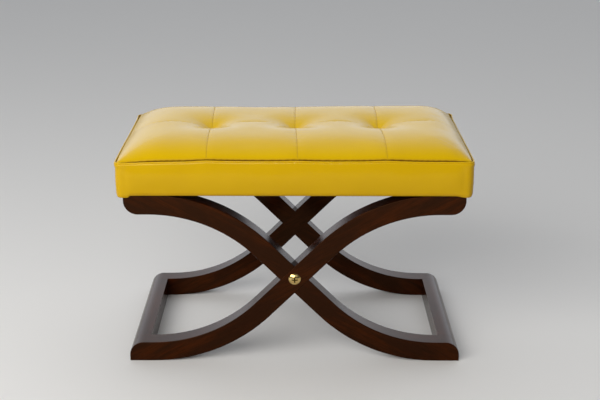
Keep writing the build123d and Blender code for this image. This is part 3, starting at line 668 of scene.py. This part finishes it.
def top_shade_and_dullness(x, y, border, end):
    """How deep each point of the top lies in a fold, from 0 to 1, as a share of painted shade that also dulls the
    leather: beside the piping, in the seams and in the tufts.
    """
    side_width, end_more = 0.85 * MM, 1.25 * MM
    seam_shade, seam_width = 0.36, 0.8 * MM
    tuft_shade, tuft_width = 0.3, 3 * MM
    fold = np.exp(-(border / (side_width + end_more * end)) ** (1 + end)) * fold_shade_share(x, y)
    for off, depth in zip(seam_offsets(x, y), SEAM_DEPTHS):
        fold = np.maximum(fold, seam_shade * depth * np.exp(-off / seam_width))
    for off in tuft_offsets(x, y):
        fold = np.maximum(fold, tuft_shade * np.exp(-off / tuft_width))
    return fold


def top_height(x, y, sizes):
    """Height of the tufted top over the floor, and how deep each point lies in a fold, from 0 to 1, as a share of
    painted shade.
    """
    wave_reach = 30 * MM
    plump = plumpness(x, y, sizes)
    rise = filled_rise(x, y, plump, sizes)
    rise = tufted_rise(rise, x, y, sizes)
    rise = sewn_rise(rise, x, y, plump, sizes)
    border, end = top_edge(x, y)
    rise = rise + edge_rise(x, y, border, end, sizes)
    wave = edge_wave(x, y, sizes) * np.exp(-border / wave_reach)
    return RIM_Z + rise + wave, top_shade_and_dullness(x, y, border, end)


def pressed_swell(sizes):
    """Swells a coarse copy of the seat under air pressure, as its filling does, and gives the grid lines of that copy
    with how far each of its points rose. The copy is held at its edge, its seams and its tufts."""
    columns, rows = 109, 63
    seam_hold, seam_width, tuft_width = 0.35, 5 * MM, 9 * MM
    pressure, quality, frames = 4, 4, 20
    lines_x = np.linspace(-SEAT_X + TOP_INSET, SEAT_X - TOP_INSET, columns)
    lines_y = np.linspace(-SEAT_Y + TOP_INSET, SEAT_Y - TOP_INSET, rows)
    x, y = np.meshgrid(lines_x, lines_y)
    start, _ = top_height(x, y, sizes)
    seams = np.min(seam_offsets(x, y), axis=0)
    tufts = np.min([np.hypot(x - seam, y) for seam in SEAM_X], axis=0)
    hold = np.maximum(seam_hold * np.exp(-(seams / seam_width) ** 2), np.exp(-(tufts / tuft_width) ** 2))
    ring = loop_round(rows, columns)
    top = np.stack([x.ravel(), y.ravel(), start.ravel()], axis=1)
    base = top[ring] * (1, 1, 0) + (0, 0, HEM_Z)
    foot = list(range(rows * columns, rows * columns + len(ring)))
    faces = grid_faces(rows, columns) + ring_faces(ring, foot) + [tuple(foot[::-1])]
    mesh = bpy.data.meshes.new("swell")
    mesh.from_pydata(np.concatenate([top, base]).tolist(), [], faces)
    copy = bpy.data.objects.new("swell", mesh)
    scene = bpy.context.scene
    scene.collection.objects.link(copy)
    held = copy.vertex_groups.new(name="held")
    for place, weight in enumerate(hold.ravel()):
        held.add([place], float(weight), "REPLACE")
    held.add(ring + foot, 1.0, "REPLACE")
    cloth = copy.modifiers.new("cloth", "CLOTH")
    cloth.settings.vertex_group_mass = "held"
    cloth.settings.quality = quality
    cloth.settings.use_pressure = True
    cloth.settings.uniform_pressure_force = pressure
    cloth.settings.effector_weights.gravity = 0
    for number in range(1, frames + 1):
        scene.frame_set(number)
    swollen = copy.evaluated_get(bpy.context.evaluated_depsgraph_get()).data
    places = np.empty(3 * len(swollen.vertices))
    swollen.vertices.foreach_get("co", places)
    scene.frame_set(1)
    bpy.data.objects.remove(copy)
    bpy.data.meshes.remove(mesh)
    moved = places.reshape(-1, 3)[:rows * columns, 2].reshape(rows, columns) - start
    return lines_x, lines_y, sizes.swell_cap * np.tanh(moved / sizes.swell_cap)


def outward(x, y, radius):
    """Directions square to the seat's outline, at points on it."""
    over_x = np.sign(x) * np.maximum(np.abs(x) - SEAT_X + radius, 0)
    over_y = np.sign(y) * np.maximum(np.abs(y) - SEAT_Y + radius, 0)
    span = np.maximum(np.hypot(over_x, over_y), TINY)
    return over_x / span, over_y / span


def top_grid(sizes):
    """Grid over the seat's top with its corners round in plan, and the indices round its edge."""
    half_x, half_y = SEAT_X - TOP_INSET, SEAT_Y - TOP_INSET
    x, y = np.meshgrid(seat_lines(half_x, SEAM_X), seat_lines(half_y, [0]))
    x, y = rounded_corners(x, y, half_x, half_y, sizes.seat_corner - TOP_INSET)
    return x, y, loop_round(*x.shape)


def seat_edge(sizes):
    """Points on the seat's outline seen from above, the directions square to it, and the places along its sides."""
    grid_x, grid_y, ring = top_grid(sizes)
    x, y = grid_x.ravel()[ring], grid_y.ravel()[ring]
    off_x, off_y = outward(x, y, sizes.seat_corner)
    x, y = x + off_x * TOP_INSET, y + off_y * TOP_INSET
    return x, y, off_x, off_y, np.where(np.abs(off_y) > np.abs(off_x), x, y)


def band_profile(sizes):
    """Rows of a side band from the top's edge to the hem: inset from the outline, height and share of painted fold
    shade.
    """
    thick = sizes.piping_radius
    low = HEM_Z - sizes.hem_hang
    roll_width, roll_height, roll_steps = 2.75 * MM, 8.8 * MM, 9
    turn_width, turn_steps, turn_shade = 2.475 * MM, 5, 0.3
    face_rows, hem_shade = 19, 0.2
    # Behind and under the piping, where the third value of each row is painted shade
    rows = [(2 * thick - 0.3 * MM, RIM_Z - 2.2 * MM, 1.0), (2 * thick + 0.2 * MM, PIPING_Z, 1.0),
            (2 * thick - 0.6 * MM, PIPING_Z - 0.5 * thick, 0.6), (thick, PIPING_Z - 0.7 * thick, 0.0),
            (0.1 * MM, PIPING_Z - 0.6 * thick, 0.0), (-0.2 * MM, PIPING_Z - thick, 0.0)]
    # Down the face of the band
    rows += [(0.0, height, 0.0) for height in np.linspace(PIPING_Z - 2.6 * thick, low + roll_height, face_rows)]
    # Round its lower edge, and up to the board, with a little painted shade under the turn and at the hem
    for turn in np.linspace(0, pi / 2, roll_steps + 1)[1:]:
        rows.append((roll_width * (1 - cos(turn)), low + roll_height * (1 - sin(turn)), 0.0))
    for turn in np.linspace(0, pi / 2, turn_steps + 1)[1:]:
        rows.append((roll_width + turn_width * sin(turn), low + (HEM_Z - low) * (1 - cos(turn)), turn_shade))
    rows.append((HEM_INSET, HEM_Z, hem_shade))
    return rows


def band_ring(edge, into, height, deep, sizes):
    """Points round the seat at one row of the side bands. The bands swell out between piping and hem. At the corners
    they stand out flatter with a dent beside, roll out under the piping at the front, and hang lower in a fold."""
    flatness, flat_reach = 0.8, 22 * MM
    lump, lump_size = 0.45 * MM, 60 * MM
    gather_lift, gather_reach = 0.5 * sizes.pucker, 6 * MM
    dent_place, dent_width = 18 * MM, 7 * MM
    tuck_reach, tuck_place, tuck_width = 14 * MM, 6 * MM, 2.6 * MM
    low_push, push_reach = 0.45, 10 * MM
    low_spread, hang_reach = 1.4, 9 * MM
    wave_start, wave_run = HEM_Z + 29.4 * MM, 46 * MM
    x, y, off_x, off_y, run = edge
    corner = from_corner(x, y)
    low = HEM_Z - sizes.hem_hang
    level = float(np.clip((height - low) / (PIPING_Z - low), 0, 1))
    belly = sin(pi * level)
    bulge = sizes.band_bulge * belly * (1 - flatness * np.exp(-(corner / flat_reach) ** 2))
    uneven = lump * roughness_of_hand(run, np.full_like(run, height), lump_size, seed=6.1) * belly
    sewn = np.exp(-max(BAND_TOP_Z - height, 0) / gather_reach) * (deep < 0.5)
    gather = gather_lift * edge_gathers(run) * sewn
    spread = corner_spread(x, y, sizes) * (low_spread + (1 - low_spread) * level)
    dent = sizes.corner_dent * np.exp(-((corner - dent_place) / dent_width) ** 2) * belly
    tuck = sizes.corner_tuck * np.exp(-corner / tuck_reach) * (y < 0)
    roll = tuck * np.exp(-((PIPING_Z - tuck_place - height) / tuck_width) ** 2)
    outside = -into + bulge + uneven + gather + spread - dent + roll
    high = np.exp(-(max(PIPING_Z - height, 0) / push_reach) ** 2)
    push = end_push(x, y, sizes) * (low_push + (1 - low_push) * high)
    hang = np.exp(-((height - low) / hang_reach) ** 2) * (into < HEM_INSET)
    wave = edge_wave(x, y, sizes) * np.clip((height - wave_start) / wave_run, 0, 1)
    lift = wave - sizes.pleat_drop * corner_pleat(x, y) * hang
    return np.stack([x + push + off_x * outside, y + off_y * outside, height + lift], axis=1)


def make_cushion(sizes, leather):
    """Closed seat cushion: a crowned, tufted top, side bands with turned-in corners, and a flat base."""
    gap_reach = 40 * MM
    x, y, ring = top_grid(sizes)
    z, fold = top_height(x, y, sizes)
    z = z + between(*pressed_swell(sizes), x, y)
    gap = np.sign(x) * sizes.end_gap * near_ends(x, gap_reach)
    moved_x = x + seam_drift(x, y) + end_push(x, y, sizes) - gap
    points = [np.stack([moved_x.ravel(), y.ravel(), z.ravel()], axis=1)]
    folds = [fold.ravel()]
    faces = grid_faces(*x.shape)
    edge = seat_edge(sizes)
    # Painted shade in the folds of the bands, faded at the corners as on the top
    shade_openness = fold_shade_share(*edge[:2])
    above, start = ring, x.size
    for into, height, deep in band_profile(sizes):
        points.append(band_ring(edge, into, height, deep, sizes))
        folds.append(deep * shade_openness)
        below = list(range(start, start + len(ring)))
        faces += ring_faces(above, below)
        above, start = below, start + len(ring)
    faces.append(tuple(above[::-1]))
    piece = new_piece("seat_cushion", np.concatenate(points), faces, leather,
                      (*TOP_PANELS, *BANDS, "wadding", "foam_block"), np.concatenate(folds))
    return piece


def make_piping(sizes, leather):
    """Leather covered piping round the seat, between the top and the side bands."""
    sides, rise, lump = 12, 0.3 * MM, 0.1 * MM
    # Turn in radians, up from the outer side, past which the piping lies in the fold and gets painted shade, and how
    # much later at the ends
    shade_turn, end_turn, shade_bend = 1.12, 0.7, 0.8
    x, y, off_x, off_y, run = seat_edge(sizes)
    thick = sizes.piping_radius
    radius = thick + lump * gathers(run, pitch=2.6 * MM, sway=2, drift=19 * MM)
    middle_x = x + end_push(x, y, sizes)
    middle_z = PIPING_Z + rise + edge_wave(x, y, sizes)
    middle_out = corner_spread(x, y, sizes) - thick
    shade_openness = fold_shade_share(x, y)
    points, folds = [], []
    for turn in np.linspace(0, 2 * pi, sides, endpoint=False):
        out = middle_out + radius * cos(turn)
        points.append(np.stack([middle_x + off_x * out, y + off_y * out, middle_z + radius * sin(turn)], axis=1))
        inside = np.maximum(np.sin(turn - shade_turn - end_turn * np.abs(off_x)), 0)
        folds.append(inside ** shade_bend * shade_openness)
    rings = np.arange(sides * len(run)).reshape(sides, -1).tolist()
    faces = [face for lower, upper in zip(rings, rings[1:] + rings[:1]) for face in ring_faces(upper, lower)]
    return new_piece("seat_piping", np.concatenate(points), faces, leather,
                     ("piping_cover", "piping_cord"), np.concatenate(folds))


def make_dust_cover(sizes, cloth):
    """Dust cover under the seat, stapled round its edge, with a slight sag between the rails."""
    columns, rows = 141, 79
    clearance, ease = 8 * MM, 100 * MM
    crinkle, crinkle_size = 0.4 * MM, 45 * MM
    x, y = np.meshgrid(np.linspace(DUST_LOW.x, DUST_HIGH.x, columns), np.linspace(DUST_LOW.y, DUST_HIGH.y, rows))
    clear_x = np.clip((RAIL_INSIDE - clearance - np.abs(x)) / ease, 0, 1)
    clear_y = np.clip((ARM_INSIDE - clearance - np.abs(y)) / ease, 0, 1)
    free = smooth(clear_x) * smooth(clear_y)
    uneven = crinkle * roughness_of_hand(x, y, crinkle_size, seed=8.2) * np.sqrt(free)
    z = (DUST_LOW.z + DUST_HIGH.z) / 2 - sizes.dust_sag * free + uneven
    # The cloth faces down, so its faces run the other way round.
    faces = [(face[0], *face[:0:-1]) for face in grid_faces(rows, columns)]
    piece = new_piece("dust_cloth", np.stack([x.ravel(), y.ravel(), z.ravel()], axis=1), faces, cloth,
                      ("dust_cover",))
    return piece


def painted_floor():
    """Floor painted a plain pale tone, dull and even."""
    colours = bpy.context.scene.bench_colours
    material, tree, shader = new_material("painted floor")
    # The eye and polished pieces see the pale floor, and it throws back less light than it shows.
    rays = node(tree, "ShaderNodeLightPath")
    tone = node(tree, "ShaderNodeMix", {"Factor": rays.outputs["Is Diffuse Ray"], "A": rgba(colours.floor),
                                        "B": rgba(colours.floor_bounce)}, data_type="RGBA")
    tree.links.new(tone.outputs["Result"], shader.inputs["Base Color"])
    shader.inputs["Roughness"].default_value = 0.8
    shader.inputs["Specular IOR Level"].default_value = 0.1
    return material


def make_floor(scene):
    """Plain floor, wide enough that its edge is far off."""
    mesh = bpy.data.meshes.new("stage_floor")
    corners = [(-FLOOR_REACH, -FLOOR_REACH, 0), (FLOOR_REACH, -FLOOR_REACH, 0), (FLOOR_REACH, FLOOR_REACH, 0),
               (-FLOOR_REACH, FLOOR_REACH, 0)]
    mesh.from_pydata(corners, [], [(0, 1, 2, 3)])
    mesh.materials.append(painted_floor())
    floor = bpy.data.objects.new("stage_floor", mesh)
    scene.collection.objects.link(floor)


def make_surround(scene):
    """Even surround, pale behind the bench and dimmer before it."""
    colours = scene.bench_colours
    world = bpy.data.worlds.new("even surround")
    world.use_nodes = True
    tree = world.node_tree
    way = node(tree, "ShaderNodeTexCoord").outputs["Generated"]
    axes = node(tree, "ShaderNodeSeparateXYZ", {"Vector": way})
    rearward = node(tree, "ShaderNodeMapRange", {"Value": axes.outputs["Y"], "From Min": -0.2, "From Max": 0.86},
                    interpolation_type="SMOOTHSTEP")
    surround = node(tree, "ShaderNodeMix", {"Factor": rearward.outputs["Result"], "A": rgba(colours.surround_front),
                                            "B": rgba(colours.surround_rear)}, data_type="RGBA")
    background = tree.nodes["Background"]
    tree.links.new(surround.outputs["Result"], background.inputs["Color"])
    background.inputs["Strength"].default_value = 1.16
    scene.world = world


def make_lights(scene):
    """Soft lights in front of the bench, aimed at the seat."""
    for name, place, size, power in LIGHTS:
        light = bpy.data.lights.new(name, "AREA")
        light.shape = "RECTANGLE"
        light.size, light.size_y = size
        light.energy = power
        lamp = bpy.data.objects.new(name, light)
        lamp.location = place
        lamp.rotation_euler = (Vector(LIGHT_AIM) - Vector(place)).to_track_quat("-Z", "Y").to_euler()
        scene.collection.objects.link(lamp)


def make_camera(scene):
    """Camera in front of the bench, a little over the seat."""
    data = bpy.data.cameras.new("camera")
    data.sensor_width = SENSOR_WIDTH
    data.lens = LENS
    camera = bpy.data.objects.new("camera", data)
    camera.location = CAMERA_PLACE
    turn = (Matrix.Rotation(CAMERA_TURN, 3, "Z") @ Matrix.Rotation(pi / 2 - CAMERA_TILT, 3, "X")
            @ Matrix.Rotation(CAMERA_ROLL, 3, "Z"))
    camera.rotation_euler = turn.to_euler()
    scene.collection.objects.link(camera)
    scene.camera = camera


class BENCH_OT_woodwork(bpy.types.Operator):
    """Stains and lacquers the arms and rails, and finishes the dowels"""
    bl_idname = "bench.woodwork"
    bl_label = "Arms, rails and dowels"

    def execute(self, context):
        finish_nodes(ARMS_RISING_RIGHT, stained_wood("stained beech rising right", (0, -ARM_SLOPE, 0)))
        finish_nodes(ARMS_RISING_LEFT, stained_wood("stained beech rising left", (0, ARM_SLOPE, 0)))
        finish_nodes(RAILS, stained_wood("stained beech rails", (0, 0, radians(90))))
        finish_nodes(DOWELS, plain_beech())
        return {"FINISHED"}


class BENCH_OT_hardware(bpy.types.Operator):
    """Finishes the brass cross screws, the steel fasteners, the seat board and the tuft cords"""
    bl_idname = "bench.hardware"
    bl_label = "Screws, fasteners and seat board"

    def execute(self, context):
        finish_nodes(CROSS_SCREWS, polished_brass())
        finish_nodes(STEEL_FASTENERS, zinc_steel())
        finish_nodes(("seat_board",), birch_plywood())
        finish_nodes(("tuft_cords",), twisted_cord())
        return {"FINISHED"}


class BENCH_OT_seat(bpy.types.Operator):
    """Makes the tufted seat cushion with its side bands, and the piping round it"""
    bl_idname = "bench.seat"
    bl_label = "Seat cushion and piping"

    def execute(self, context):
        sizes = context.scene.bench_sizes
        leather = yellow_leather()
        make_cushion(sizes, leather)
        make_piping(sizes, leather)
        return {"FINISHED"}


class BENCH_OT_dust_cover(bpy.types.Operator):
    """Makes the dust cover under the seat"""
    bl_idname = "bench.dust_cover"
    bl_label = "Dust cover"

    def execute(self, context):
        make_dust_cover(context.scene.bench_sizes, bonded_cloth())
        return {"FINISHED"}


class BENCH_OT_stage(bpy.types.Operator):
    """Sets up the floor, the surround, the soft lights and the camera"""
    bl_idname = "bench.stage"
    bl_label = "Stage, lights and camera"

    def execute(self, context):
        scene = context.scene
        scene.view_settings.view_transform = "Standard"
        make_floor(scene)
        make_surround(scene)
        make_lights(scene)
        make_camera(scene)
        return {"FINISHED"}


class BENCH_PT_dressing(bpy.types.Panel):
    """Sidebar list of the bench's pieces"""
    bl_label = "X bench"
    bl_idname = "BENCH_PT_dressing"
    bl_space_type = "VIEW_3D"
    bl_region_type = "UI"
    bl_category = "X bench"

    def draw(self, context):
        for operator in OPERATORS:
            self.layout.operator(operator.bl_idname, text=operator.bl_label)
        for group in (context.scene.bench_sizes, context.scene.bench_colours):
            for name in group.__annotations__:
                self.layout.prop(group, name)


OPERATORS = (BENCH_OT_woodwork, BENCH_OT_hardware, BENCH_OT_seat, BENCH_OT_dust_cover, BENCH_OT_stage)
CLASSES = (BenchSizes, BenchColours, *OPERATORS, BENCH_PT_dressing)


def register():
    """Registers the classes, and gives the scene its sizes and colours."""
    for one in CLASSES:
        bpy.utils.register_class(one)
    bpy.types.Scene.bench_sizes = PointerProperty(type=BenchSizes)
    bpy.types.Scene.bench_colours = PointerProperty(type=BenchColours)


def unregister():
    """Takes away what register gave."""
    del bpy.types.Scene.bench_colours
    del bpy.types.Scene.bench_sizes
    for one in reversed(CLASSES):
        bpy.utils.unregister_class(one)


def main():
    """Dresses the bench and sets the stage."""
    register()
    bpy.ops.bench.woodwork()
    bpy.ops.bench.hardware()
    bpy.ops.bench.seat()
    bpy.ops.bench.dust_cover()
    bpy.ops.bench.stage()


if __name__ == "__main__":
    main()
